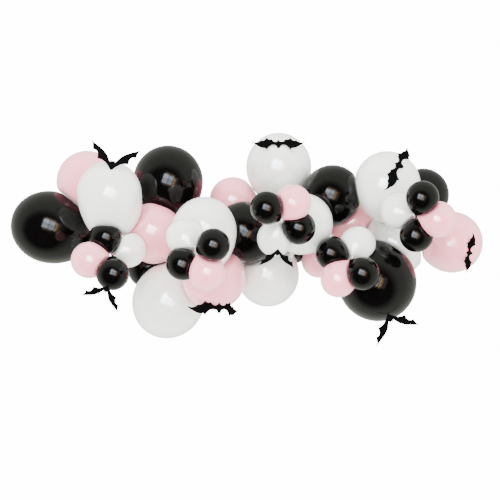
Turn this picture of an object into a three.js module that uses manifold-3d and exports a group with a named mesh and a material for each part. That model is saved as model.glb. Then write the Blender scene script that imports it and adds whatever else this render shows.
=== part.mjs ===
// Balloon garland with paper bats: large balloons pressed together on a wall, five clusters of four small
// balloons over them and eight bats of black card. Millimetres, +Z up. The wall is the plane y = 0 and the
// garland lies on its -Y side. The origin is where the pink balloon of the upper middle touches the wall.
import * as THREE from "three";
import { mergeVertices } from "three/addons/utils/BufferGeometryUtils.js";
import Module from "manifold-3d";

const wasm = await Module();
wasm.setup();

// From the balloon at the far left to the one at the far right. The large balloons keep their places and
// widths as thousandths of it, because their arrangement is free.
const garlandLength = 1700;
const share = garlandLength / 1000;

// How the balloons press together
const press = 0.86; // distance of two pressed centres over the sum of their radii
const wallPatch = 84; // width of the flat where a balloon is stuck to the wall
const gap = 0.3; // between two faces that touch

// Large balloons
const crownReach = 1.02; // from the widest place to the crown, over the radius
const neckReach = 1.2; // from the widest place to the neck, over the radius
const neckTaper = 1.12; // above 1 draws the neck side in to a point
const neckTilt = 24; // degrees by which a neck turns to the wall
const neckRadius = 8;
const neckLength = 12;
const knotRadius = 7;
const lipRadius = 12;
const lipLength = 10;

// Small balloons of the clusters
const frontBlackAcross = 122;
const pinkAcross = 132;
const sideBlackAcross = 125;
const smallWhiteAcross = 130;
const smallNeckRadius = 5;
const smallKnotRadius = 4;
const smallNeckTaper = 1.45;
const tieClearance = 5; // from the end of a small balloon's neck to the point where the four are tied
const smallNeckLength = 5;
const clusterStep = 38; // how far each balloon of a cluster stands in front of the one behind it
const tieForward = 22; // from the mean depth of the four to the tie in front of it

// Paper bats
const cardThickness = 1;
const creaseStart = 0.03; // shares of the half span where a wing's fold begins and ends
const creaseEnd = 0.3;
const raiseStart = 0.05; // and where a raised wing turns towards the head
const raiseEnd = 0.15;

// Faces round a balloon and along its profile
const largeSides = 11;
const smallSides = 9;
const largeRows = 4; // from the crown to the widest place; the neck side has one less
const smallRows = 3;

const latex = {
  black: { color: 0x0b0b0c, roughness: 0.22 },
  white: { color: 0xe4e5e1, roughness: 0.38 },
  pink: { color: 0xf5d5db, roughness: 0.42 },
};
const card = { color: 0x0a0a0c, roughness: 0.7 };

// Large balloons from the wall outwards. Each names its place on the wall and its width, in shares of the
// garland's length, and the way its neck points, in degrees from +X towards +Z. crown and neck give a longer
// or shorter end where it has one.
const largeBalloons = [
  { name: "black_balloon_left_back", colour: "black", x: -178, z: -140, across: 94, points: 60 },
  { name: "pink_balloon_upper_left", colour: "pink", x: -309, z: 40, across: 131, points: -50 },
  { name: "pink_balloon_upper_middle", colour: "pink", x: 0, z: 0, across: 100, points: -40 },
  { name: "black_balloon_middle_back", colour: "black", x: 122, z: -81, across: 106, points: 80 },
  { name: "pink_balloon_right_back", colour: "pink", x: 250, z: -45, across: 98, points: -100 },
  { name: "pink_balloon_lower_middle", colour: "pink", x: 183, z: -125, across: 77, points: 60 },
  { name: "white_balloon_lower_right", colour: "white", x: 344, z: -94, across: 131, points: 120 },
  { name: "black_balloon_right_back", colour: "black", x: 403, z: 12, across: 112, points: -110 },
  {
    name: "black_balloon_far_left",
    colour: "black",
    x: -389,
    z: -56,
    across: 154,
    points: -13,
    crown: 1.1,
    neck: 1.36,
  },
  { name: "black_balloon_upper_left", colour: "black", x: -138, z: 40, across: 150, points: -90, crown: 1.04 },
  { name: "white_balloon_bottom_middle", colour: "white", x: 74, z: -158, across: 132, points: 80 },
  { name: "black_balloon_upper_right", colour: "black", x: 208, z: 10, across: 128, points: -130, crown: 1.06 },
  { name: "pink_balloon_far_right", colour: "pink", x: 464, z: -88, across: 131, points: 165 },
  { name: "black_balloon_lower_right", colour: "black", x: 305, z: -172, across: 167, points: 125 },
  { name: "white_balloon_upper_right", colour: "white", x: 327, z: 32, across: 142, points: -80, crown: 1.03 },
  { name: "pink_balloon_left_middle", colour: "pink", x: -172, z: -66, across: 126, points: -60 },
  { name: "black_balloon_middle", colour: "black", x: 25, z: -68, across: 134, points: -20 },
  { name: "white_balloon_lower_left", colour: "white", x: -137, z: -213, across: 153, points: 62, crown: 1.06 },
  { name: "pink_balloon_lower_left", colour: "pink", x: -41, z: -165, across: 136, points: 95, crown: 0.98 },
  { name: "white_balloon_upper_left", colour: "white", x: -262, z: 14, across: 138, points: -82, neck: 1.75 },
  { name: "white_balloon_top_middle", colour: "white", x: 97, z: 71, across: 139, points: -90, crown: 1.06 },
  { name: "white_balloon_right_middle", colour: "white", x: 147, z: -50, across: 129, points: -110, neck: 1.04 },
  {
    name: "white_balloon_left_middle",
    colour: "white",
    x: -61,
    z: -66,
    across: 138,
    points: -92,
    crown: 1.08,
    neck: 1.4,
  },
];

// A cluster's four small balloons lie round the point where their necks are tied, each by the way it lies
// from that point, in degrees from +X towards +Z, and how far, as a share of its own width.
const clusters = [
  {
    name: "left",
    x: -255,
    z: -113,
    white: { bearing: 15, spread: 0.45 },
    side_black: { bearing: 113, spread: 0.48 },
    pink: { bearing: -165, spread: 0.64 },
    front_black: { bearing: -88, spread: 0.57 },
  },
  {
    name: "left_middle",
    x: -80,
    z: -111,
    white: { bearing: 124, spread: 0.53 },
    side_black: { bearing: -139, spread: 0.44 },
    pink: { bearing: -58, spread: 0.61 },
    front_black: { bearing: 23, spread: 0.58 },
  },
  {
    name: "middle",
    x: 103,
    z: -45,
    white: { bearing: -112, spread: 0.50 },
    side_black: { bearing: -20, spread: 0.50 },
    pink: { bearing: 59, spread: 0.58 },
    front_black: { bearing: 138, spread: 0.59 },
  },
  {
    name: "right_middle",
    x: 245,
    z: -122,
    white: { bearing: 58, spread: 0.45 },
    side_black: { bearing: 164, spread: 0.49 },
    pink: { bearing: -117, spread: 0.63 },
    front_black: { bearing: -48, spread: 0.60 },
  },
  {
    name: "right",
    x: 384,
    z: -36,
    white: { bearing: 160, spread: 0.50 },
    side_black: { bearing: -85, spread: 0.50 },
    pink: { bearing: -5, spread: 0.63 },
    front_black: { bearing: 70, spread: 0.61 },
  },
];
const clusterMembers = [
  { role: "white", colour: "white", across: smallWhiteAcross, lean: -1.5 * clusterStep },
  { role: "side_black", colour: "black", across: sideBlackAcross, lean: -0.5 * clusterStep },
  { role: "pink", colour: "pink", across: pinkAcross, lean: 0.5 * clusterStep },
  { role: "front_black", colour: "black", across: frontBlackAcross, lean: 1.5 * clusterStep },
];

// The two shapes of bat, with wings straight out or raised by an angle in degrees. The outline runs from the
// middle of the body to a wing tip, in shares of the half span: the distance from the middle along the wing,
// then the tail edge and the head edge there.
const spreadWings = {
  raise: 0,
  outline: [
    { out: 0, tail: -0.18, head: 0.155 },
    { out: 0.035, tail: -0.15, head: 0.18 },
    { out: 0.1, tail: -0.09, head: 0.05 },
    { out: 0.264, tail: -0.187, head: 0.055 },
    { out: 0.444, tail: -0.235, head: 0.243 },
    { out: 0.53, tail: -0.14, head: 0.17 },
    { out: 0.665, tail: -0.12, head: 0.15 },
    { out: 0.83, tail: -0.03, head: 0.065 },
    { out: 1, tail: -0.062, head: -0.05 },
  ],
};
const raisedWings = {
  raise: 40,
  outline: [
    { out: 0, tail: -0.18, head: 0.1 },
    { out: 0.045, tail: -0.14, head: 0.15 },
    { out: 0.12, tail: -0.062, head: 0.062 },
    { out: 0.3, tail: -0.085, head: 0.115 },
    { out: 0.45, tail: -0.185, head: 0.132 },
    { out: 0.61, tail: -0.07, head: 0.116 },
    { out: 0.76, tail: -0.125, head: 0.08 },
    { out: 0.84, tail: -0.045, head: 0.05 },
    { out: 1, tail: -0.006, head: 0.006 },
  ],
};

// Bats by the middle of the body, given from the middle of the balloon they are on as shares of its radius,
// the way the head points, its tilt away from the front, and the fold of each wing, all angles in degrees.
const bats = [
  {
    name: "bat_top_left",
    on: "white_balloon_upper_left",
    wings: raisedWings,
    right: 0.1,
    up: 0.89,
    halfSpan: 118,
    head: 78,
    tilt: 14,
    rightFold: 12,
    leftFold: 12,
  },
  {
    name: "bat_left_cluster",
    on: "left_cluster_front_black",
    wings: raisedWings,
    right: -0.37,
    up: -0.95,
    halfSpan: 94,
    head: 245,
    tilt: 14,
    rightFold: 12,
    leftFold: 12,
  },
  {
    name: "bat_bottom_left",
    on: "pink_balloon_lower_left",
    wings: spreadWings,
    right: 0.175,
    up: -0.915,
    halfSpan: 115,
    head: 269,
    tilt: 8,
    rightFold: 10,
    leftFold: 61,
  },
  {
    name: "bat_top_middle",
    on: "white_balloon_top_middle",
    wings: spreadWings,
    right: -0.01,
    up: 0.7,
    halfSpan: 96,
    head: 270,
    tilt: -16,
    rightFold: 8,
    leftFold: 8,
  },
  {
    name: "bat_middle_cluster",
    on: "middle_cluster_white",
    wings: raisedWings,
    right: 0.14,
    up: -0.8,
    halfSpan: 82,
    head: 266,
    tilt: 14,
    rightFold: 12,
    leftFold: 12,
  },
  {
    name: "bat_top_right",
    on: "white_balloon_upper_right",
    wings: spreadWings,
    right: 0.335,
    up: 0.595,
    halfSpan: 108,
    head: -27,
    tilt: 0,
    rightFold: 20,
    leftFold: 58,
  },
  {
    name: "bat_far_right",
    on: "pink_balloon_far_right",
    wings: spreadWings,
    right: 0.56,
    up: -0.35,
    halfSpan: 74,
    head: -11,
    tilt: 14,
    rightFold: 8,
    leftFold: 8,
  },
  {
    name: "bat_lower_right",
    on: "black_balloon_lower_right",
    wings: raisedWings,
    right: 0.32,
    up: -0.93,
    halfSpan: 111,
    head: 296,
    tilt: 14,
    rightFold: 12,
    leftFold: 12,
  },
];

const rad = THREE.MathUtils.degToRad;
const toWall = new THREE.Vector3(0, 1, 0);

// Direction in the plane of the wall, turned to the wall by a tilt.
function heading(degrees, tilt = 0) {
  const flat = new THREE.Vector3(Math.cos(rad(degrees)), 0, Math.sin(rad(degrees)));
  return flat.multiplyScalar(Math.cos(rad(tilt))).addScaledVector(toWall, Math.sin(rad(tilt)));
}

// Depth in front of the wall at which a balloon, pushed straight back, presses on the wall or on a balloon
// that is already there.
function restingDepth(balloon, placed) {
  const radius = balloon.across / 2;
  let depth = Math.sqrt(radius ** 2 - (wallPatch / 2) ** 2);
  for (const other of placed) {
    const beside = Math.hypot(balloon.x - other.centre.x, balloon.z - other.centre.z);
    const reach = press * (radius + other.radius);
    if (beside < reach) depth = Math.max(depth, Math.sqrt(reach ** 2 - beside ** 2) - other.centre.y);
  }
  return depth;
}

function placeAt(balloon, depth) {
  return { ...balloon, centre: new THREE.Vector3(balloon.x, -depth, balloon.z), radius: balloon.across / 2 };
}

function inShares(entry) {
  return { ...entry, x: entry.x * share, z: entry.z * share, across: entry.across * share };
}

// Where a balloon's surface lies from its centre in a given direction, without the neck.
function reachTowards(balloon, direction) {
  const along = direction.dot(balloon.neckWay);
  const end = along > 0 ? balloon.neckEnd : balloon.crownEnd;
  const across = Math.sqrt(Math.max(0, 1 - along ** 2));
  return 1 / Math.hypot(across / balloon.radius, along / end);
}

// Half outline of a balloon from the crown to the rolled lip, about the Y axis with the crown at the top.
function profile(balloon, rows) {
  const points = [new THREE.Vector2(0, balloon.crownEnd)];
  for (let i = 1; i <= rows; i++) {
    const turn = (i / rows) * (Math.PI / 2);
    points.push(new THREE.Vector2(balloon.radius * Math.sin(turn), balloon.crownEnd * Math.cos(turn)));
  }
  for (let i = 1; i < rows - 1; i++) {
    const turn = (i / (rows - 1)) * (Math.PI / 2);
    const width = balloon.radius * Math.cos(turn) ** balloon.taper;
    points.push(new THREE.Vector2(width, -balloon.neckEnd * Math.sin(turn)));
  }
  let along = -balloon.neckEnd;
  for (const ring of balloon.neckRings) {
    along -= ring.after;
    points.push(new THREE.Vector2(ring.radius, along));
  }
  points.push(new THREE.Vector2(0, along));
  return points.reverse();
}

// A closed geometry in the garland's frame, as a solid.
function solidOf(geometry) {
  const bare = geometry.clone();
  bare.deleteAttribute("normal");
  bare.deleteAttribute("uv");
  const merged = mergeVertices(bare);
  const mesh = new wasm.Mesh({
    numProp: 3,
    vertProperties: merged.attributes.position.array,
    triVerts: new Uint32Array(merged.index.array),
  });
  return new wasm.Manifold(mesh);
}

function balloonSolid(balloon, rows, sides) {
  const grow = 2 / (1 + Math.cos(Math.PI / sides)); // the flats lie as far inside as the corners lie outside
  const geometry = new THREE.LatheGeometry(profile(balloon, rows), sides);
  geometry.scale(grow, 1, grow);
  const turn = new THREE.Quaternion().setFromUnitVectors(new THREE.Vector3(0, -1, 0), balloon.neckWay);
  geometry.applyQuaternion(turn);
  geometry.translate(balloon.centre.x, balloon.centre.y, balloon.centre.z);
  return solidOf(geometry);
}

// A block that fills the far side of a plane, which starts at a point and faces away along its normal.
const blockSize = garlandLength;
function farSide(point, normal) {
  const block = new THREE.BoxGeometry(blockSize, blockSize, blockSize);
  block.translate(0, 0, blockSize / 2);
  block.applyQuaternion(new THREE.Quaternion().setFromUnitVectors(new THREE.Vector3(0, 0, 1), normal));
  block.translate(point.x, point.y, point.z);
  return solidOf(block);
}

// Flattens two balloons against each other on one plane, with the gap between their faces.
function pressTogether(a, b) {
  const way = b.centre.clone().sub(a.centre);
  const distance = way.length();
  way.normalize();
  const away = way.clone().negate();
  const difference = reachTowards(a, way) ** 2 - reachTowards(b, away) ** 2;
  const meeting = (distance ** 2 + difference) / (2 * distance);
  const faceA = a.centre.clone().addScaledVector(way, meeting - gap / 2);
  const faceB = a.centre.clone().addScaledVector(way, meeting + gap / 2);
  a.cuts.push(farSide(faceA, way));
  b.cuts.push(farSide(faceB, away));
}

// What is left of a balloon round its centre when its neighbours and the wall have flattened it.
function flattened(balloon) {
  let solid = balloon.solid;
  for (const cut of balloon.cuts) solid = solid.subtract(cut);
  return solid.decompose().reduce((most, piece) => (piece.volume() > most.volume() ? piece : most));
}

function meshOf(name, solid, centre, finish) {
  const made = solid.getMesh();
  const position = new Float32Array(made.numVert * 3);
  for (let i = 0; i < made.numVert; i++) {
    const at = i * made.numProp;
    position.set(made.vertProperties.subarray(at, at + 3), i * 3);
  }
  const geometry = new THREE.BufferGeometry();
  geometry.setAttribute("position", new THREE.BufferAttribute(position, 3));
  geometry.setIndex(new THREE.BufferAttribute(made.triVerts, 1));
  geometry.translate(-centre.x, -centre.y, -centre.z);
  geometry.computeVertexNormals();
  const mesh = new THREE.Mesh(geometry, new THREE.MeshStandardMaterial({ ...finish, metalness: 0 }));
  mesh.name = name;
  mesh.position.copy(centre);
  return mesh;
}

const balloons = [];

function addLargeBalloon(given) {
  const entry = inShares(given);
  const balloon = placeAt(entry, restingDepth(entry, balloons));
  balloon.neckWay = heading(entry.points, neckTilt);
  balloon.crownEnd = balloon.radius * (entry.crown ?? crownReach);
  balloon.neckEnd = balloon.radius * (entry.neck ?? neckReach);
  balloon.taper = neckTaper;
  balloon.neckRings = [
    { after: 0, radius: neckRadius },
    { after: neckLength, radius: knotRadius },
    { after: lipLength, radius: lipRadius },
  ];
  balloon.solid = balloonSolid(balloon, largeRows, largeSides);
  balloons.push(balloon);
}

// A cluster is pushed back as one until a balloon of it presses on a large one. Its necks run to the tie,
// so a balloon that lies close to the tie has a short neck side.
function addCluster(cluster) {
  const x = cluster.x * share;
  const z = cluster.z * share;
  const entries = clusterMembers.map((member) => {
    const lie = cluster[member.role];
    const at = heading(lie.bearing).multiplyScalar(lie.spread * member.across);
    return { ...member, name: `${cluster.name}_cluster_${member.role}`, x: x + at.x, z: z + at.z };
  });
  const depth = Math.max(...entries.map((entry) => restingDepth(entry, balloons) - entry.lean));
  const tie = new THREE.Vector3(x, -depth - tieForward, z);
  for (const entry of entries) {
    const balloon = placeAt(entry, depth + entry.lean);
    const way = tie.clone().sub(balloon.centre);
    const neckTip = way.length() - tieClearance;
    balloon.neckWay = way.normalize();
    balloon.crownEnd = balloon.radius * crownReach;
    balloon.neckEnd = Math.min(balloon.radius * neckReach, neckTip - smallNeckLength);
    balloon.taper = smallNeckTaper;
    balloon.neckRings = [
      { after: 0, radius: smallNeckRadius },
      { after: neckTip - balloon.neckEnd, radius: smallKnotRadius },
    ];
    balloon.solid = balloonSolid(balloon, smallRows, smallSides);
    balloons.push(balloon);
  }
}

largeBalloons.forEach(addLargeBalloon);
clusters.forEach(addCluster);

const wallCut = farSide(new THREE.Vector3(0, 0, 0), toWall);
for (const balloon of balloons) balloon.cuts = [wallCut];
balloons.forEach((a, i) => {
  for (const b of balloons.slice(i + 1)) if (a.solid.intersect(b.solid).volume() > 0) pressTogether(a, b);
});

// Follows a line that turns by an angle between two of its points and is straight before and after them.
function bentLine(length, start, end, angle) {
  const reached = THREE.MathUtils.clamp((length - start) / (end - start), 0, 1);
  const turn = angle * reached;
  const straight = Math.max(0, length - end);
  const before = Math.min(length, start);
  if (turn === 0) return { along: length, aside: 0, turn };
  const radius = (end - start) / angle;
  return {
    along: before + radius * Math.sin(turn) + straight * Math.cos(turn),
    aside: radius * (1 - Math.cos(turn)) + straight * Math.sin(turn),
    turn,
  };
}

// A flat bat of card on the XY plane, head to +Y, its wings folded up to +Z on either side of the body.
function batGeometry(bat) {
  const { outline, raise } = bat.wings;
  const cells = outline.length - 1;
  const geometry = new THREE.BoxGeometry(2 * cells, 1, cardThickness, 2 * cells, 1, 1);
  const position = geometry.attributes.position;
  for (let i = 0; i < position.count; i++) {
    const station = outline[Math.round(Math.abs(position.getX(i)))];
    const edge = position.getY(i) > 0 ? station.head : station.tail;
    const middle = bentLine(station.out, raiseStart, raiseEnd, rad(raise));
    const out = middle.along - edge * Math.sin(middle.turn);
    const up = middle.aside + edge * Math.cos(middle.turn);
    const side = Math.sign(position.getX(i));
    const fold = bentLine(out, creaseStart, creaseEnd, rad(side > 0 ? bat.rightFold : bat.leftFold));
    const rise = position.getZ(i);
    position.setXYZ(
      i,
      side * (bat.halfSpan * fold.along - rise * Math.sin(fold.turn)),
      bat.halfSpan * up,
      bat.halfSpan * fold.aside + rise * Math.cos(fold.turn),
    );
  }
  return geometry;
}

// Turns a bat to the way its head points and its tilt, then brings it from the front towards the wall until
// it lies on the balloons, with the gap under it.
function batPlaced(bat, balloonMeshes) {
  const headWay = heading(bat.head, bat.tilt);
  const spanWay = heading(bat.head - 90);
  const faceWay = spanWay.clone().cross(headWay);
  const turn = new THREE.Matrix4().makeBasis(spanWay, headWay, faceWay);
  const geometry = batGeometry(bat).applyMatrix4(turn);
  const position = geometry.attributes.position;
  const host = balloonMeshes.find((mesh) => mesh.name === bat.on);
  const x = host.position.x + bat.right * host.userData.radius;
  const z = host.position.z + bat.up * host.userData.radius;
  const caster = new THREE.Raycaster();
  let depth = -Infinity;
  for (let i = 0; i < position.count; i++) {
    const from = new THREE.Vector3(x + position.getX(i), -blockSize, z + position.getZ(i));
    caster.set(from, toWall);
    const hit = caster.intersectObjects(balloonMeshes, false)[0];
    if (hit) depth = Math.max(depth, gap - hit.point.y + position.getY(i));
  }
  const centre = new THREE.Vector3(x, -depth, z);
  const reach = 2 * bat.halfSpan;
  const isNear = (mesh) => mesh.position.distanceTo(centre) < reach + mesh.userData.radius;
  const near = balloonMeshes.filter(isNear);
  let solid = solidOf(geometry.clone().translate(centre.x, centre.y, centre.z));
  while (near.some((mesh) => solid.intersect(mesh.userData.solid).volume() > 0)) {
    centre.y -= gap;
    solid = solid.translate(0, -gap, 0);
  }
  return meshOf(bat.name, solid, centre, card);
}

const garland = new THREE.Group();
const balloonMeshes = balloons.map((balloon) => {
  const solid = flattened(balloon);
  const mesh = meshOf(balloon.name, solid, balloon.centre, latex[balloon.colour]);
  mesh.userData = { solid, radius: balloon.radius };
  mesh.updateMatrixWorld(true);
  return mesh;
});
garland.add(...balloonMeshes);
garland.add(...bats.map((bat) => batPlaced(bat, balloonMeshes)));

export default garland;
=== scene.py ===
import math

import bpy
from mathutils import Matrix, Quaternion, Vector, noise
from mathutils.bvhtree import BVHTree


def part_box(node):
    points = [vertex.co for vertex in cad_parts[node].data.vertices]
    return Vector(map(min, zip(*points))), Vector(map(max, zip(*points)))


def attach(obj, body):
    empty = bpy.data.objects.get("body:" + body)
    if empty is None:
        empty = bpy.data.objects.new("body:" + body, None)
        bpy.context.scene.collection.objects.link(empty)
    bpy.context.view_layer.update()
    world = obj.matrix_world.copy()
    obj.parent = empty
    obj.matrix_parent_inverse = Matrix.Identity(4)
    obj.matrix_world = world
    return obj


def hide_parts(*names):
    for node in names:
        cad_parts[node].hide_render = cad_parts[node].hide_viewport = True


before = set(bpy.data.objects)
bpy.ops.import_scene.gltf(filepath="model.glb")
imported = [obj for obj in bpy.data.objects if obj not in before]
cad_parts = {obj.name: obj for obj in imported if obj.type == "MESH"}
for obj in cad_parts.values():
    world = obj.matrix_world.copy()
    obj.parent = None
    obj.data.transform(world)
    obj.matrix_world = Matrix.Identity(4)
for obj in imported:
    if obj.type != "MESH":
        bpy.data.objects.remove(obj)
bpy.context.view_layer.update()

# How the balloons lie together; x, z and across below are thousandths of the length
garland = {
    "length": 1.7,
    "press": 0.86,  # distance of two pressed centres over the sum of their radii
    "wallPatch": 0.084,  # width of the flat where a balloon is stuck to the wall
    "gap": 0.0003,
    "farApart": 1.7,  # sum of radii past which two balloons are not tried against each other
    "tryRings": 30,  # along a balloon and round it, where one is tried against another
    "trySides": 20,
    "weld": 0.00002,  # points closer than this are one
}
share = garland["length"] / 1000

largeLook = {
    "sides": 52,
    "rows": 12,
    "crown": 1.02,
    "neck": 1.2,
    "taper": 1.12,  # above 1 draws the neck side in to a point
    "neckTilt": 24,  # degrees by which a neck turns to the wall
    "neckRoom": 0.008,  # a neck with less room before a flat is squeezed away
    "neckRadius": 0.008,
    "neckLength": 0.022,
    "lipRadius": 0.0115,
    "pleats": 0.0009,
    "uneven": 0.006,  # share of the radius by which the skin wanders
    "softEdge": 0.007,  # half the width over which a pressed flat rolls into the round
}

# name, x, z, across, way of the neck in degrees, then reach of the crown and of the neck over the radius
largeBalloons = [
    ("black_balloon_left_back", -178, -140, 94, 60, None, None),
    ("pink_balloon_upper_left", -309, 40, 131, -50, None, None),
    ("pink_balloon_upper_middle", 0, 0, 100, -40, None, None),
    ("black_balloon_middle_back", 122, -81, 106, 80, None, None),
    ("pink_balloon_right_back", 250, -45, 98, -100, None, None),
    ("pink_balloon_lower_middle", 183, -125, 77, 60, None, None),
    ("white_balloon_lower_right", 344, -94, 131, 120, None, None),
    ("black_balloon_right_back", 403, 12, 112, -110, None, None),
    ("black_balloon_far_left", -389, -56, 154, -13, 1.1, 1.36),
    ("black_balloon_upper_left", -138, 40, 150, -90, 1.04, None),
    ("white_balloon_bottom_middle", 74, -158, 132, 80, None, None),
    ("black_balloon_upper_right", 208, 10, 128, -130, 1.06, None),
    ("pink_balloon_far_right", 464, -88, 131, 165, None, None),
    ("black_balloon_lower_right", 305, -172, 167, 125, None, None),
    ("white_balloon_upper_right", 327, 32, 142, -80, 1.03, None),
    ("pink_balloon_left_middle", -172, -66, 126, -60, None, None),
    ("black_balloon_middle", 25, -68, 134, -20, None, None),
    ("white_balloon_lower_left", -137, -213, 153, 62, 1.06, None),
    ("pink_balloon_lower_left", -41, -165, 136, 95, 0.98, None),
    ("white_balloon_upper_left", -262, 14, 138, -82, None, 1.75),
    ("white_balloon_top_middle", 97, 71, 139, -90, 1.06, None),
    ("white_balloon_right_middle", 147, -50, 129, -110, None, 1.04),
    ("white_balloon_left_middle", -61, -66, 138, -92, 1.08, 1.4),
]

smallLook = {
    "sides": 44,
    "rows": 10,
    "crown": 1.02,
    "neck": 1.2,
    "taper": 1.45,
    "step": 0.038,  # how far each balloon of a cluster stands in front of the one behind it
    "tieForward": 0.022,
    "tieClearance": 0.005,
    "neckRadius": 0.0048,
    "neckLength": 0.005,
    "knotRadius": 0.0026,
    "lipRadius": 0.0052,
    "lipReach": 0.012,  # of the lip in front of the tie
    "rootWidths": (0.8, 0.85),  # of the lip's root at the tie and past it, over the knot's radius
    "rootReach": 0.75,  # share of the lip's reach
    "pleats": 0.0005,
    "uneven": 0.005,
    "softEdge": 0.0042,
}

# name, x, z of the tie, then (bearing, spread over the own width) of white, side black, pink, front black
clusters = [
    ("left", -255, -113, (15, 0.45), (113, 0.48), (-165, 0.64), (-88, 0.57)),
    ("left_middle", -80, -111, (124, 0.53), (-139, 0.44), (-58, 0.61), (23, 0.58)),
    ("middle", 103, -45, (-112, 0.50), (-20, 0.50), (59, 0.58), (138, 0.59)),
    ("right_middle", 245, -122, (58, 0.45), (164, 0.49), (-117, 0.63), (-48, 0.60)),
    ("right", 384, -36, (160, 0.50), (-85, 0.50), (-5, 0.63), (70, 0.61)),
]

# role, width, steps by which it stands in front of the cluster's middle
clusterRoles = [
    ("white", 0.130, -1.5),
    ("side_black", 0.125, -0.5),
    ("pink", 0.132, 0.5),
    ("front_black", 0.122, 1.5),
]


def clearSelection():
    if bpy.context.object and bpy.context.object.mode != "OBJECT":
        bpy.ops.object.mode_set(mode="OBJECT")
    bpy.ops.object.select_all(action="DESELECT")


def applyModifiers(piece):
    bpy.context.view_layer.objects.active = piece
    for modifier in list(piece.modifiers):
        bpy.ops.object.modifier_apply(modifier=modifier.name)


def smooth(low, high, value):
    t = min(1.0, max(0.0, (value - low) / (high - low)))
    return t * t * (3 - 2 * t)


def heading(degrees, tilt=0.0):
    turn, lean = math.radians(degrees), math.radians(tilt)
    return Vector((math.cos(turn) * math.cos(lean), math.sin(lean), math.sin(turn) * math.cos(lean)))


balloons = []  # where each lies, with the flats pressed on it


# Depth at which a balloon, pushed straight back, presses on the wall or on the balloons already there.
def restingDepth(x, z, radius):
    depth = math.sqrt(radius**2 - (garland["wallPatch"] / 2) ** 2)
    for other in balloons:
        beside = math.hypot(x - other["centre"].x, z - other["centre"].z)
        reach = garland["press"] * (radius + other["radius"])
        if beside < reach:
            depth = max(depth, math.sqrt(reach**2 - beside**2) - other["centre"].y)
    return depth


for name, x, z, across, points, crown, neck in largeBalloons:
    radius = across * share / 2
    balloons.append({
        "name": name,
        "look": largeLook,
        "radius": radius,
        "centre": Vector((x * share, -restingDepth(x * share, z * share, radius), z * share)),
        "neckWay": heading(points, largeLook["neckTilt"]),
        "crownEnd": radius * (crown or largeLook["crown"]),
        "neckEnd": radius * (neck or largeLook["neck"]),
        "neckLength": largeLook["neckLength"],
        "lip": True,
    })

for name, tieX, tieZ, *lies in clusters:
    members = []
    for (role, across, steps), (bearing, spread) in zip(clusterRoles, lies):
        at = Vector((tieX * share, 0, tieZ * share)) + heading(bearing) * spread * across
        lean = steps * smallLook["step"]
        members.append((role, at, across / 2, lean, restingDepth(at.x, at.z, across / 2) - lean))
    depth = max(member[4] for member in members)
    tie = Vector((tieX * share, -depth - smallLook["tieForward"], tieZ * share))
    for role, at, radius, lean, _ in members:
        centre = Vector((at.x, -depth - lean, at.z))
        neckTip = (tie - centre).length - smallLook["tieClearance"]
        neckEnd = min(radius * smallLook["neck"], neckTip - smallLook["neckLength"])
        balloons.append({
            "name": f"{name}_cluster_{role}",
            "look": smallLook,
            "radius": radius,
            "centre": centre,
            "neckWay": (tie - centre).normalized(),
            "crownEnd": radius * smallLook["crown"],
            "neckEnd": neckEnd,
            "neckLength": neckTip - neckEnd,
            "lip": role == "white",
        })


# Distance from the centre to the skin in a direction, without the neck.
def reachTowards(balloon, way):
    along = way.dot(balloon["neckWay"])
    end = balloon["neckEnd"] if along > 0 else balloon["crownEnd"]
    across = math.sqrt(max(0.0, 1 - along**2))
    return 1 / math.hypot(across / balloon["radius"], along / end)


def widthAt(balloon, along):
    if along <= 0:
        return balloon["radius"] * math.sqrt(max(0.0, 1 - (along / balloon["crownEnd"]) ** 2))
    if along < balloon["neckEnd"]:
        side = math.sqrt(1 - (along / balloon["neckEnd"]) ** 2)
        return balloon["radius"] * side ** balloon["look"]["taper"]
    if along < balloon["neckEnd"] + balloon["neckLength"]:
        return balloon["look"]["neckRadius"]
    return -1.0


def skinPoints(balloon):
    way = balloon["neckWay"]
    side = way.orthogonal().normalized()
    other = way.cross(side)
    last = balloon["neckEnd"] + balloon["neckLength"]
    rings, sides = garland["tryRings"], garland["trySides"]
    for i in range(rings + 1):
        along = -balloon["crownEnd"] + (last + balloon["crownEnd"]) * i / rings
        width = max(0.0, widthAt(balloon, along))
        for j in range(sides):
            turn = math.tau * j / sides
            ring = side * math.cos(turn) + other * math.sin(turn)
            yield balloon["centre"] + way * along + ring * width


def pokesInto(points, balloon):
    for point in points:
        away = point - balloon["centre"]
        along = away.dot(balloon["neckWay"])
        across = math.sqrt(max(0.0, away.length_squared - along**2))
        if across < widthAt(balloon, along):
            return True
    return False


for balloon in balloons:
    balloon["points"] = list(skinPoints(balloon))
    balloon["flats"] = [(Vector((0, 0, 0)), Vector((0, 1, 0)))]
for index, one in enumerate(balloons):
    for two in balloons[index + 1:]:
        way = two["centre"] - one["centre"]
        distance = way.length
        if distance > (one["radius"] + two["radius"]) * garland["farApart"]:
            continue
        way.normalize()
        reachOne, reachTwo = reachTowards(one, way), reachTowards(two, -way)
        touching = reachOne + reachTwo > distance
        if touching or pokesInto(one["points"], two) or pokesInto(two["points"], one):
            meeting = (distance**2 + reachOne**2 - reachTwo**2) / (2 * distance)
            one["flats"].append((one["centre"] + way * (meeting - garland["gap"] / 2), way))
            two["flats"].append((one["centre"] + way * (meeting + garland["gap"] / 2), -way))
for balloon in balloons:
    root = balloon["centre"] + balloon["neckWay"] * balloon["neckEnd"]
    room = min((point - root).dot(way) for point, way in balloon["flats"])
    balloon["neckShown"] = balloon["look"] is smallLook or room > largeLook["neckRoom"]
print("layout:", len(balloons), "balloons,", sum(b["neckShown"] for b in balloons), "with their necks")


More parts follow.
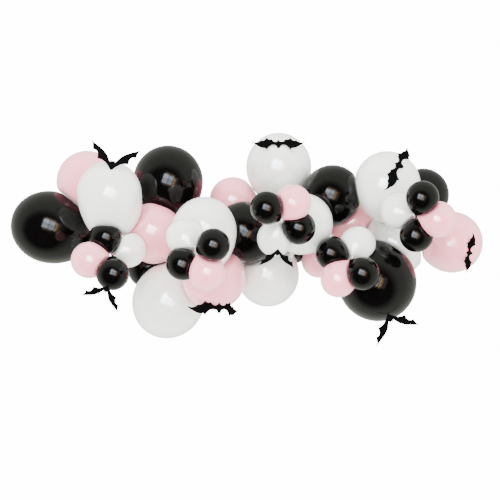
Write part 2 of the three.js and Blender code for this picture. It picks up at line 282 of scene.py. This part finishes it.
# Rings of a large neck, from the skin past the knot, then of its rolled lip: width over the neck's or the
# lip's radius, and place as a share of the neck's length
largeNeckRings = [(0.78, 0.22), (0.72, 0.38), (1.05, 0.48), (1.16, 0.56), (1.02, 0.64), (0.66, 0.70)]
largeLipRings = [
    (0.62, 0.80), (0.86, 0.90), (0.97, 0.94), (1.0, 0.975),
    (0.94, 1.0), (0.84, 0.98), (0.45, 0.86), (0.0, 0.84),
]

# Rings of a small neck: width over the knot's radius, and place as a share of the neck's length. Then those
# of the lip past the tie: width over the lip's radius, and place as a share of its reach
smallNeckRings = [(1.25, 0.45), (1.0, 1.0)]
smallLipRings = [(0.7, 0.95), (0.95, 1.08), (1.0, 1.17), (0.9, 1.24), (0.7, 1.2), (0.3, 1.1), (0.0, 1.08)]


# Half outline from the crown to the rolled lip, as (distance from the axis, height).
def balloonOutline(balloon):
    look, radius = balloon["look"], balloon["radius"]
    rows = look["rows"]
    points = [(0.0, balloon["crownEnd"])]
    for i in range(1, rows + 1):
        turn = math.pi / 2 * i / rows
        points.append((radius * math.sin(turn), balloon["crownEnd"] * math.cos(turn)))
    shown = balloon["neckShown"]
    for i in range(1, rows + 1):
        turn = math.pi / 2 * i / rows
        width = radius * math.cos(turn) ** look["taper"] if i < rows else 0.0
        if shown:
            width = (width**3 + look["neckRadius"] ** 3) ** (1 / 3)
        points.append((width, -balloon["neckEnd"] * math.sin(turn)))
    if not shown:
        return points
    start, length, neck = -balloon["neckEnd"], balloon["neckLength"], look["neckRadius"]
    if look is largeLook:
        lip = look["lipRadius"]
        points += [(neck * wide, start - length * along) for wide, along in largeNeckRings]
        return points + [(lip * wide, start - length * along) for wide, along in largeLipRings]
    knot, tip = look["knotRadius"], start - length
    points += [(knot * wide, start - length * along) for wide, along in smallNeckRings]
    if not balloon["lip"]:
        return points + [(0.0, tip)]
    lip, past = look["lipRadius"], look["lipReach"]
    tieWide, rootWide = look["rootWidths"]
    points.append((knot * tieWide, tip - look["tieClearance"]))
    points.append((knot * rootWide, tip - past * look["rootReach"]))
    return points + [(lip * wide, tip - past * along) for wide, along in smallLipRings]


def spunBalloon(balloon):
    outline = balloonOutline(balloon)
    clearSelection()
    bpy.ops.mesh.primitive_plane_add(size=0.01, location=(0, 0, outline[0][1]))
    bpy.ops.object.transform_apply(location=True, rotation=False, scale=False)
    piece = bpy.context.object
    bpy.ops.object.mode_set(mode="EDIT")
    bpy.ops.mesh.merge(type="CENTER")  # the crown, from which the half outline is drawn
    for here, there in zip(outline, outline[1:]):
        step = (there[0] - here[0], 0, there[1] - here[1])
        bpy.ops.mesh.extrude_region_move(TRANSFORM_OT_translate={"value": step})
    bpy.ops.mesh.select_all(action="SELECT")
    sides = balloon["look"]["sides"]
    bpy.ops.mesh.spin(steps=sides, angle=math.tau, center=(0, 0, 0), axis=(0, 0, 1))
    bpy.ops.mesh.select_all(action="SELECT")
    bpy.ops.mesh.remove_doubles(threshold=garland["weld"])
    bpy.ops.mesh.normals_make_consistent(inside=False)
    bpy.ops.object.mode_set(mode="OBJECT")
    rounding = piece.modifiers.new("rounding", "SUBSURF")
    rounding.levels = rounding.render_levels = 1
    applyModifiers(piece)
    return piece


# How far a point past a flat has to come back, with a soft edge round the flat.
def pressedBack(distance, soft):
    if distance < -soft:
        return 0.0
    if distance > soft:
        return distance
    return distance + (soft - distance) ** 2 / (4 * soft)


skinLook = {
    "neckZone": (0.55, 1.02),  # shares of the neck side over which the skin thickens
    "crownZone": 0.16,  # share of the radius round the crown that is thicker too
    "crownDense": 0.45,
    "pleatPlace": 0.985,  # share of the neck side
    "pleatBand": 0.11,  # share of the radius
    "pleatCounts": (9, 14),  # waves round the neck side, wide and fine
    "finePleats": 0.6,  # height of the fine ones over the wide ones
    "pleatFade": 0.01,  # distance from the axis at which the pleats are full
    "bulgeScale": 1.1,
    "seedStep": (3.7, 1.3, 2.1),
    "stiffCore": 0.35,  # share of the radius inside which the skin wanders less
    "neckBend": 1.5,  # above 1 bends a neck that meets a flat more towards its tip
    "tieSlack": 0.0005,  # past the tie by this much, a lip isn't pressed on the flats
}


# Thickens, pleats and bends the skin, and presses it on its flats; the seed sets how it wanders.
def shapeBalloon(piece, balloon, seed):
    look, radius = balloon["look"], balloon["radius"]
    turn = Vector((0, 0, -1)).rotation_difference(balloon["neckWay"])
    neckStart, neckLength = balloon["neckEnd"], balloon["neckLength"]
    neckTip = neckStart + neckLength
    tipWide = look["lipRadius"] if look is largeLook else look["knotRadius"]
    bends = []
    for point, way in balloon["flats"]:
        over = (balloon["centre"] + balloon["neckWay"] * neckTip - point).dot(way) + tipWide
        if balloon["neckShown"] and over > 0:
            bends.append(way * over)
    dense = piece.data.attributes.new("dense", "FLOAT", "POINT")
    wander = Vector([seed * step for step in skinLook["seedStep"]])
    few, many = skinLook["pleatCounts"]
    zoneStart, zoneEnd = skinLook["neckZone"]
    for index, vertex in enumerate(piece.data.vertices):
        co = vertex.co
        along = -co.z
        width = math.hypot(co.x, co.y)
        nearNeck = smooth(zoneStart * neckStart, zoneEnd * neckStart, along)
        nearCrown = 1 - smooth(0.0, skinLook["crownZone"] * radius, width) if along < 0 else 0.0
        dense.data[index].value = min(1.0, nearNeck**2 + skinLook["crownDense"] * nearCrown)
        if width > 1e-6:
            angle = math.atan2(co.y, co.x)
            away = (along - neckStart * skinLook["pleatPlace"]) / (skinLook["pleatBand"] * radius)
            fine = skinLook["finePleats"] * math.sin(many * angle + 2 * seed)
            pleat = look["pleats"] * math.exp(-(away**2)) * (math.sin(few * angle + seed) + fine)
            drift = look["uneven"] * radius * (1 - nearNeck)
            bulge = noise.noise(co / radius * skinLook["bulgeScale"] + wander) * drift
            moved = pleat * smooth(0.0, skinLook["pleatFade"], width) + bulge
            scale = 1 + moved / max(width, skinLook["stiffCore"] * radius)
            co.x *= scale
            co.y *= scale
        placed = turn @ co + balloon["centre"]
        pastTie = look is smallLook and along > neckTip + skinLook["tieSlack"]
        if along > neckStart:
            bent = min(1.0, (along - neckStart) / neckLength) ** skinLook["neckBend"]
            for bend in bends:
                placed -= bend * bent
        if not pastTie:
            for _ in range(2):
                for point, way in balloon["flats"]:
                    placed -= way * pressedBack((placed - point).dot(way), look["softEdge"])
        vertex.co = placed


def addPieces():
    made = []
    for seed, balloon in enumerate(balloons):
        piece = spunBalloon(balloon)
        piece.name = piece.data.name = balloon["name"] + "_latex"
        shapeBalloon(piece, balloon, seed)
        piece.data.polygons.foreach_set("use_smooth", [True] * len(piece.data.polygons))
        piece.data.update()
        made.append(piece)
    return made


balloonPieces = addPieces()
print("balloons:", sum(len(piece.data.polygons) for piece in balloonPieces), "faces")

# Paper bats of one sheet of card each, with folded wings
batLook = {
    "thickness": 0.001,
    "stationStep": 0.0125,  # share of the half span from one column of faces to the next
    "crease": (0.03, 0.3),  # shares of the half span where a wing's fold begins and ends
    "raising": (0.05, 0.15),  # and where a raised wing turns towards the head
    "rowsAcross": 4,
    "curl": 0.012,  # share of the half span by which the card bows between its edges
    "curlZone": (0.05, 0.4),  # and where along the wing the bow sets in
    "weld": 0.00001,
    "clearStep": 0.0005,  # a bat is brought out by such steps until it clears the balloons
    "clearMost": 0.03,
}

# The two shapes of bat, with wings straight out or raised by so many degrees. Half outlines from the middle
# of the body to a wing tip, in shares of the half span: arcs through three points.
spreadWings = {
    "raise": 0,
    "tail": [
        ((0.0, -0.18), (0.03, -0.128), (0.06, -0.102)),
        ((0.06, -0.102), (0.13, -0.082), (0.264, -0.187)),
        ((0.264, -0.187), (0.34, -0.166), (0.444, -0.235)),
        ((0.444, -0.235), (0.53, -0.142), (0.665, -0.12)),
        ((0.665, -0.12), (0.82, -0.034), (1.0, -0.07)),
    ],
    "head": [
        ((0.0, 0.155), (0.018, 0.156), (0.035, 0.18)),
        ((0.035, 0.18), (0.047, 0.15), (0.06, 0.115)),
        ((0.06, 0.115), (0.075, 0.078), (0.09, 0.06)),
        ((0.09, 0.06), (0.2, 0.034), (0.355, 0.12)),
        ((0.355, 0.12), (0.41, 0.178), (0.444, 0.243)),
        ((0.444, 0.243), (0.48, 0.187), (0.535, 0.172)),
        ((0.535, 0.172), (0.68, 0.15), (0.85, 0.052)),
        ((0.85, 0.052), (0.93, 0.014), (1.0, -0.055)),
    ],
}
raisedWings = {
    "raise": 40,
    "tail": [
        ((0.0, -0.18), (0.022, -0.16), (0.05, -0.135)),
        ((0.05, -0.135), (0.08, -0.085), (0.12, -0.06)),
        ((0.12, -0.06), (0.3, -0.08), (0.45, -0.187)),
        ((0.45, -0.187), (0.6, -0.06), (0.76, -0.128)),
        ((0.76, -0.128), (0.85, -0.044), (1.0, -0.002)),
    ],
    "head": [
        ((0.0, 0.1), (0.014, 0.104), (0.035, 0.155)),
        ((0.035, 0.155), (0.055, 0.118), (0.08, 0.085)),
        ((0.08, 0.085), (0.1, 0.068), (0.13, 0.064)),
        ((0.13, 0.064), (0.4, 0.14), (0.65, 0.11)),
        ((0.65, 0.11), (0.82, 0.062), (1.0, 0.002)),
    ],
}

# name, host, wings, place to the right and up from the host's middle over its radius, half span, way of the
# head and its tilt in degrees, folds of the right and the left wing
bats = [
    ("bat_top_left", "white_balloon_upper_left", raisedWings, 0.1, 0.89, 0.118, 78, 14, 12, 12),
    ("bat_left_cluster", "left_cluster_front_black", raisedWings, -0.37, -0.95, 0.094, 245, 14, 12, 12),
    ("bat_bottom_left", "pink_balloon_lower_left", spreadWings, 0.175, -0.915, 0.115, 269, 8, 10, 61),
    ("bat_top_middle", "white_balloon_top_middle", spreadWings, -0.01, 0.7, 0.096, 270, -16, 8, 8),
    ("bat_middle_cluster", "middle_cluster_white", raisedWings, 0.14, -0.8, 0.082, 266, 14, 12, 12),
    ("bat_top_right", "white_balloon_upper_right", spreadWings, 0.335, 0.595, 0.108, -27, 0, 20, 58),
    ("bat_far_right", "pink_balloon_far_right", spreadWings, 0.56, -0.35, 0.074, -11, 14, 8, 8),
    ("bat_lower_right", "black_balloon_lower_right", raisedWings, 0.32, -0.93, 0.111, 296, 14, 12, 12),
]


# Height of the outline at a distance from the middle, on the arc that holds it.
def arcHeight(arcs, out):
    for (x0, y0), (x1, y1), (x2, y2) in arcs:
        if out <= x2:
            return (
                y0 * (out - x1) * (out - x2) / ((x0 - x1) * (x0 - x2))
                + y1 * (out - x0) * (out - x2) / ((x1 - x0) * (x1 - x2))
                + y2 * (out - x0) * (out - x1) / ((x2 - x0) * (x2 - x1))
            )
    return arcs[-1][2][1]


def batStations(wings):
    stops = sorted({end for edge in ("tail", "head") for _, _, (end, _) in wings[edge]} | {0.0})
    stations = [0.0]
    for low, high in zip(stops, stops[1:]):
        count = max(2, round((high - low) / batLook["stationStep"]))
        stations += [low + (high - low) * i / count for i in range(1, count + 1)]
    return stations


# Follows a line that turns by an angle between two of its points and is straight before and after them.
def bentLine(length, start, end, angle):
    turn = angle * min(1.0, max(0.0, (length - start) / (end - start)))
    if turn == 0:
        return length, 0.0, turn
    radius = (end - start) / angle
    straight = max(0.0, length - end)
    along = min(length, start) + radius * math.sin(turn) + straight * math.cos(turn)
    return along, radius * (1 - math.cos(turn)) + straight * math.sin(turn), turn


def addBat(name, host, wings, right, up, halfSpan, head, tilt, rightFold, leftFold):
    stations = batStations(wings)
    wing, rows = len(stations) - 1, batLook["rowsAcross"]
    clearSelection()
    bpy.ops.mesh.primitive_grid_add(x_subdivisions=2 * wing, y_subdivisions=rows, size=2)
    piece = bpy.context.object
    piece.name = piece.data.name = name + "_card"
    for vertex in piece.data.vertices:
        step = round(vertex.co.x * wing)
        out, side = stations[abs(step)], (1 if step > 0 else -1)
        rise = (vertex.co.y + 1) / 2
        low, high = arcHeight(wings["tail"], out), arcHeight(wings["head"], out)
        bow = batLook["curl"] * (1 - (2 * rise - 1) ** 2) * smooth(*batLook["curlZone"], out)
        edge = low + (high - low) * rise
        middle, above, raised = bentLine(out, *batLook["raising"], math.radians(wings["raise"]))
        flatOut, flatUp = middle - edge * math.sin(raised), above + edge * math.cos(raised)
        fold = math.radians(rightFold if side > 0 else leftFold)
        across, lift, _ = bentLine(flatOut, *batLook["crease"], fold)
        vertex.co = Vector((side * across, flatUp, lift + bow)) * halfSpan
    bpy.ops.object.mode_set(mode="EDIT")
    bpy.ops.mesh.select_all(action="SELECT")
    bpy.ops.mesh.remove_doubles(threshold=batLook["weld"])
    bpy.ops.mesh.normals_make_consistent(inside=False)
    bpy.ops.object.mode_set(mode="OBJECT")
    body = piece.modifiers.new("card", "SOLIDIFY")
    body.thickness = batLook["thickness"]
    body.offset = 0
    applyModifiers(piece)
    headWay, spanWay = heading(head, tilt), heading(head - 90)
    faceWay = spanWay.cross(headWay)
    turn = Matrix((spanWay, headWay, faceWay)).transposed().to_4x4()
    onto = next(balloon for balloon in balloons if balloon["name"] == host)
    low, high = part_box(name)
    piece.data.transform(turn)
    depths = [vertex.co.y for vertex in piece.data.vertices]
    x = onto["centre"].x + right * onto["radius"]
    z = onto["centre"].z + up * onto["radius"]
    y = (low.y + high.y) / 2 - (min(depths) + max(depths)) / 2
    piece.data.transform(Matrix.Translation((x, y, z)))
    return piece


def treeOf(piece):
    corners = [vertex.co.copy() for vertex in piece.data.vertices]
    return BVHTree.FromPolygons(corners, [tuple(face.vertices) for face in piece.data.polygons])


# Brings a bat straight out until it clears the balloons under it.
def clearOf(piece, trees):
    moved = 0.0
    while moved < batLook["clearMost"]:
        own = treeOf(piece)
        if not any(own.overlap(tree) for tree in trees):
            break
        piece.data.transform(Matrix.Translation((0, -batLook["clearStep"], 0)))
        moved += batLook["clearStep"]
    return moved


balloonTrees = [treeOf(piece) for piece in balloonPieces]
batPieces = []
for bat in bats:
    piece = addBat(*bat)
    moved = clearOf(piece, balloonTrees)
    print("bat:", bat[0], "brought out by", round(moved * 1000, 1), "mm")
    batPieces.append(piece)


# A socket or number of a material; sums and products of it add Math nodes.
class Wire:
    def __init__(self, bench, socket):
        self.bench = bench
        self.socket = socket

    def math(self, operation, *values):
        node = self.bench.add("ShaderNodeMath", {"operation": operation}, dict(enumerate(values)))
        return Wire(self.bench, node.outputs[0])

    def __add__(self, other):
        return self.math("ADD", self, other)

    def __sub__(self, other):
        return self.math("SUBTRACT", self, other)

    def __rsub__(self, other):
        return self.math("SUBTRACT", other, self)

    def __mul__(self, other):
        return self.math("MULTIPLY", self, other)

    __radd__ = __add__


class Bench:
    def __init__(self, tree):
        self.tree = tree
        tree.nodes.clear()

    def add(self, kind, settings=None, inputs=None):
        node = self.tree.nodes.new(kind)
        for key, value in (settings or {}).items():
            if key == "stops":
                ramp = node.color_ramp
                while len(ramp.elements) < len(value):
                    ramp.elements.new(0.5)
                for element, (position, colour) in zip(ramp.elements, value):
                    element.position = position
                    element.color = colour
            else:
                setattr(node, key, value)
        for key, value in (inputs or {}).items():
            if isinstance(value, Wire):
                self.tree.links.new(value.socket, node.inputs[key])
            else:
                node.inputs[key].default_value = value
        return node

    def wire(self, node, output=0):
        return Wire(self, node.outputs[output])

    def noise(self, scale, detail, place):
        node = self.add("ShaderNodeTexNoise", {}, {"Vector": place, "Scale": scale, "Detail": detail})
        return self.wire(node, "Fac")

    def mixed(self, factor, one, two):
        inputs = {"Factor": factor, 6: one, 7: two}
        return self.wire(self.add("ShaderNodeMix", {"data_type": "RGBA"}, inputs), 2)


latexLooks = {
    "white": {
        "skin": (0.77, 0.787, 0.73, 1),
        "thin": (0.795, 0.81, 0.76, 1),
        "dense": (0.72, 0.725, 0.68, 1),
        "roughness": 0.2,
        "specular": 0.5,
        "sheen": 0.35,
        "coat": 0.9,
        "subsurface": 0.12,
    },
    "pink": {
        "skin": (0.95, 0.30, 0.365, 1),
        "thin": (0.96, 0.34, 0.405, 1),
        "dense": (0.88, 0.19, 0.26, 1),
        "roughness": 0.22,
        "specular": 0.5,
        "sheen": 0.4,
        "coat": 0.8,
        "subsurface": 0.12,
    },
    "black": {
        "skin": (0.0009, 0.0008, 0.0008, 1),
        "thin": (0.0014, 0.0013, 0.0012, 1),
        "dense": (0.0006, 0.0006, 0.0006, 1),
        "roughness": 0.11,
        "specular": 0.19,
        "sheen": 0.0,
        "coat": 0.0,
        "subsurface": 0.0,
    },
}


# What the three colours have in common: scales of the noise, shares of it in roughness and height
latexGrain = {
    "clouds": 9.0,
    "specks": 420.0,
    "ripples": 34.0,
    "cloudRoughness": 0.03,
    "speckRoughness": 0.02,
    "denseRoughness": 0.08,
    "rippleHeight": 0.75,
    "speckHeight": 0.05,
    "bump": 0.12,
    "bumpDistance": 0.0012,
    "sheenRoughness": 0.35,
    "coatRoughness": 0.14,
    "coatIor": 2.1,
    "subsurfaceScale": 0.01,
}


def latexMaterial(colour, look, grain):
    material = bpy.data.materials.new(colour + "Latex")
    material.use_nodes = True
    bench = Bench(material.node_tree)
    place = bench.wire(bench.add("ShaderNodeTexCoord"), "Object")
    dense = bench.wire(bench.add("ShaderNodeAttribute", {"attribute_name": "dense"}), "Fac")
    cloudy = bench.noise(grain["clouds"], 3.0, place)
    specks = bench.noise(grain["specks"], 2.0, place)
    ripple = bench.noise(grain["ripples"], 2.0, place)
    skin = bench.mixed(cloudy, look["skin"], look["thin"])
    colourOut = bench.mixed(dense, skin, look["dense"])
    roughness = (
        look["roughness"]
        + (cloudy - 0.5) * grain["cloudRoughness"]
        + (specks - 0.5) * grain["speckRoughness"]
        + dense * grain["denseRoughness"]
    )
    height = ripple * grain["rippleHeight"] + specks * grain["speckHeight"]
    relief = {"Height": height, "Strength": grain["bump"], "Distance": grain["bumpDistance"]}
    inputs = {
        "Base Color": colourOut,
        "Roughness": roughness,
        "Normal": bench.wire(bench.add("ShaderNodeBump", {}, relief)),
        "Specular IOR Level": look["specular"],
        "Sheen Weight": look["sheen"],
        "Sheen Roughness": grain["sheenRoughness"],
        "Coat Weight": look["coat"],
        "Coat Roughness": grain["coatRoughness"],
        "Coat IOR": grain["coatIor"],
        "Subsurface Weight": look["subsurface"],
        "Subsurface Scale": grain["subsurfaceScale"],
    }
    shader = bench.add("ShaderNodeBsdfPrincipled", {}, inputs)
    bench.add("ShaderNodeOutputMaterial", {}, {"Surface": bench.wire(shader)})
    return material


cardLook = {
    "face": (0.0005, 0.0005, 0.0005, 1),
    "fibre": (0.0014, 0.0014, 0.0014, 1),
    "roughness": 0.72,
    "roughnessSpread": 0.2,
    "specular": 0.03,
    "fibres": 650.0,
    "stretch": (1, 1, 3.5),
    "clouds": 60.0,
    "fibreShare": 0.6,  # of the colour's changes; the rest is clouds
    "bump": 0.3,
    "bumpDistance": 0.0003,
}


def cardMaterial(look):
    material = bpy.data.materials.new("blackCard")
    material.use_nodes = True
    bench = Bench(material.node_tree)
    place = bench.wire(bench.add("ShaderNodeTexCoord"), "Object")
    mapping = bench.add("ShaderNodeMapping", {}, {"Vector": place, "Scale": look["stretch"]})
    fibres = bench.noise(look["fibres"], 4.0, bench.wire(mapping))
    cloudy = bench.noise(look["clouds"], 2.0, place)
    mottled = fibres * look["fibreShare"] + cloudy * (1 - look["fibreShare"])
    relief = {"Height": fibres, "Strength": look["bump"], "Distance": look["bumpDistance"]}
    inputs = {
        "Base Color": bench.mixed(mottled, look["face"], look["fibre"]),
        "Roughness": look["roughness"] + (fibres - 0.5) * look["roughnessSpread"],
        "Normal": bench.wire(bench.add("ShaderNodeBump", {}, relief)),
        "Specular IOR Level": look["specular"],
    }
    shader = bench.add("ShaderNodeBsdfPrincipled", {}, inputs)
    bench.add("ShaderNodeOutputMaterial", {}, {"Surface": bench.wire(shader)})
    return material


latexMaterials = {colour: latexMaterial(colour, look, latexGrain) for colour, look in latexLooks.items()}
blackCard = cardMaterial(cardLook)


def finishPiece(piece, node, material, slot):
    piece.data.materials.clear()
    piece.data.materials.append(material)
    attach(piece, "root")
    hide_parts(node)


boxLimit = 0.006  # a difference from the solid's box past this is printed


# Largest difference between the box of a piece and that of its solid.
def boxDifference(piece):
    low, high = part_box(piece.name.rsplit("_", 1)[0])
    differences = []
    for axis in range(3):
        places = [vertex.co[axis] for vertex in piece.data.vertices]
        differences += [abs(min(places) - low[axis]), abs(max(places) - high[axis])]
    return max(differences)


for piece, balloon in zip(balloonPieces, balloons):
    colour = next(shade for shade in latexMaterials if shade in balloon["name"])
    finishPiece(piece, balloon["name"], latexMaterials[colour], colour + "_latex")
for piece, bat in zip(batPieces, bats):
    finishPiece(piece, bat[0], blackCard, "bat_card")
widest = 0.0
for piece in balloonPieces + batPieces:
    off = boxDifference(piece)
    if off > boxLimit:
        print("box of", piece.name, "differs by", round(off * 1000, 1), "mm")
    widest = max(widest, off)
print("finishes: largest difference of a box", round(widest * 1000, 1), "mm")

# Floor, light and camera
studio = {
    "floorHeight": -1.15,
    "floorRadius": 3.2,
    "floorSides": 96,
    "floorTones": ((0.86, 0.86, 0.86, 1), (0.9, 0.9, 0.9, 1)),
    "floorClouds": 3.0,
    "floorRoughness": 0.8,
    "viewerWay": (-0.20, -0.94, -0.28),  # from the garland to the middle of the shade mirrored in the gloss
    "frontFill": 4.8,  # brightness of the room before the garland, on the skins
    "backFill": 4.8,  # and behind it
    "sideFill": 0.8,  # and beside it, over that behind it
    "fillStops": (0.42, 0.66),  # from behind (0) to the viewer (1), where the side's and the front's lie
    "backdrop": 15.0,  # brightness of the white behind the garland
    "far": (0.9, 0.92, 0.88, 1),  # what the gloss mirrors behind the garland
    "sheen": (1.55, 1.62, 1.42, 1),  # to the sides
    "shade": (0.02, 0.012, 0.012, 1),  # and towards the viewer
    "glossStops": (0.30, 0.62, 0.80),  # where the sheen begins and ends, and the shade begins
    "cameraDistance": 45.0,
    "cameraReach": 400.0,
    "frameWidth": 1.8,
    "lookAt": (0.0612, -0.2, -0.1782),
}


def addFloor():
    clearSelection()
    bpy.ops.mesh.primitive_circle_add(
        vertices=studio["floorSides"],
        radius=studio["floorRadius"],
        fill_type="NGON",
        location=(0, 0, studio["floorHeight"]),
    )
    bpy.ops.object.transform_apply(location=True, rotation=False, scale=False)
    floor = bpy.context.object
    floor.name = "paleFloor"
    material = bpy.data.materials.new("paleFloor")
    material.use_nodes = True
    bench = Bench(material.node_tree)
    place = bench.wire(bench.add("ShaderNodeTexCoord"), "Object")
    tone = bench.mixed(bench.noise(studio["floorClouds"], 2.0, place), *studio["floorTones"])
    inputs = {"Base Color": tone, "Roughness": studio["floorRoughness"]}
    shader = bench.add("ShaderNodeBsdfPrincipled", {}, inputs)
    bench.add("ShaderNodeOutputMaterial", {}, {"Surface": bench.wire(shader)})
    floor.data.materials.append(material)
    floor.visible_glossy = False  # the skins mirror the room alone


# A white room: even light on the skins, and for their gloss a shade in front with a pale sheen round it.
def addRoom():
    world = bpy.data.worlds.new("room")
    bpy.context.scene.world = world
    world.use_nodes = True
    bench = Bench(world.node_tree)
    way = bench.wire(bench.add("ShaderNodeTexCoord"), "Generated")
    front = Vector(studio["viewerWay"]).normalized()
    dot = bench.add("ShaderNodeVectorMath", {"operation": "DOT_PRODUCT"}, {0: way, 1: front})
    facing = bench.wire(dot, "Value")
    sheenStart, sheenEnd, shadeStart = studio["glossStops"]
    stops = [(0.0, studio["far"]), (sheenStart, studio["sheen"]), (sheenEnd, studio["sheen"])]
    stops.append((shadeStart, studio["shade"]))
    ramp = bench.add("ShaderNodeValToRGB", {"stops": stops}, {"Fac": facing * 0.5 + 0.5})
    paths = bench.add("ShaderNodeLightPath")
    glossy = bench.wire(paths, "Is Glossy Ray")
    seen = bench.wire(paths, "Is Camera Ray")
    near, far = studio["frontFill"], studio["backFill"]
    levels = zip((0.0, *studio["fillStops"]), (far, studio["sideFill"] * far, near))
    stops = [(stop, (level, level, level, 1)) for stop, level in levels]
    fill = bench.add("ShaderNodeValToRGB", {"stops": stops}, {"Fac": facing * 0.5 + 0.5})
    strength = seen * studio["backdrop"] + (1 - seen) * bench.wire(fill)
    plain = bench.add("ShaderNodeBackground", {}, {"Color": (1, 1, 1, 1), "Strength": strength})
    mirrored = bench.add("ShaderNodeBackground", {}, {"Color": bench.wire(ramp), "Strength": 1.0})
    mix = bench.add("ShaderNodeMixShader", {}, {0: glossy, 1: bench.wire(plain), 2: bench.wire(mirrored)})
    bench.add("ShaderNodeOutputWorld", {}, {"Surface": bench.wire(mix)})


# A window in front of the garland that only the gloss mirrors: cool panes, warm wood beside and over them
windowLook = {
    "at": (-0.25, -3.6, 0.25),
    "towards": (0.0, 0.0, -0.1),
    "turn": -20,  # degrees by which it leans
    "paneSize": (1.02, 0.86),
    "bar": 0.09,
    "paneColour": (0.80, 0.87, 1.0),
    "paneLight": 33.0,
    "lowerPanes": 0.7,  # light of the lower panes over that of the upper ones
    "rightPanes": 0.75,
    "woodColour": (1.0, 0.60, 0.28),
    "woodLight": 38.0,
    "curtainColour": (1.0, 0.75, 0.65),
}

# Round the panes: name, colour, place to the right and up from the window's middle, size, share of the
# wood's light
windowParts = [
    ("post", "woodColour", (1.36, -0.1), (0.14, 1.978), 1.0),
    ("casing", "woodColour", (1.63, 0.05), (0.14, 1.634), 0.45),
    ("rail", "woodColour", (0.15, 1.16), (2.244, 0.10), 0.5),
    ("sill", "woodColour", (-0.1, -1.16), (1.632, 0.08), 0.3),
    ("curtain", "curtainColour", (2.11, 0.1), (0.8, 2.236), 0.05),
]

# A wide soft light before the garland, and a weaker one over it, for the form of the skins: name, place,
# size, colour, light
softLights = [
    ("front", (-0.15, -4.3, 0.25), (1.8, 1.8), (1.0, 0.997, 0.985), 6.0),
    ("over", (-0.4, -1.4, 3.4), (3.0, 2.0), (1.0, 1.0, 1.0), 3.0),
]


def addPanel(name, middle, turn, size, colour, radiance):
    light = bpy.data.lights.new(name, "AREA")
    light.shape = "RECTANGLE"
    light.size, light.size_y = size
    light.color = colour
    light.energy = radiance * math.pi * size[0] * size[1]
    panel = bpy.data.objects.new(name, light)
    bpy.context.scene.collection.objects.link(panel)
    panel.location = middle
    panel.rotation_euler = turn.to_euler()
    panel.visible_camera = False
    return panel


def addWindow():
    look = windowLook
    at, towards = Vector(look["at"]), Vector(look["towards"])
    turn = (towards - at).to_track_quat("-Z", "Y") @ Quaternion((0, 0, 1), math.radians(look["turn"]))
    right, up = turn @ Vector((1, 0, 0)), turn @ Vector((0, 1, 0))
    wide, high = look["paneSize"]
    parts = []
    for column in (-0.5, 0.5):
        for row in (-0.5, 0.5):
            middle = (column * (wide + look["bar"]), row * (high + look["bar"]))
            light = look["paneLight"] * (1.0 if row > 0 else look["lowerPanes"])
            light *= 1.0 if column < 0 else look["rightPanes"]
            parts.append(("pane", middle, look["paneSize"], look["paneColour"], light))
    for name, colour, middle, size, brightness in windowParts:
        parts.append((name, middle, size, look[colour], brightness * look["woodLight"]))
    for name, (across, above), size, colour, light in parts:
        panel = addPanel(name, at + right * across + up * above, turn, size, colour, light)
        panel.visible_diffuse = False
    for name, place, size, colour, light in softLights:
        turn = (towards - Vector(place)).to_track_quat("-Z", "Y")
        panel = addPanel(name, place, turn, size, colour, light)
        panel.visible_glossy = False


def addCamera():
    data = bpy.data.cameras.new("camera")
    data.sensor_width = 36.0
    data.lens = data.sensor_width * studio["cameraDistance"] / studio["frameWidth"]
    data.clip_end = studio["cameraReach"]
    camera = bpy.data.objects.new("camera", data)
    bpy.context.scene.collection.objects.link(camera)
    camera.location = Vector(studio["lookAt"]) - Vector((0, studio["cameraDistance"], 0))
    camera.rotation_euler = (math.pi / 2, 0, 0)
    bpy.context.scene.camera = camera


addFloor()
addRoom()
addWindow()
addCamera()
print("floor, light and camera are in place")
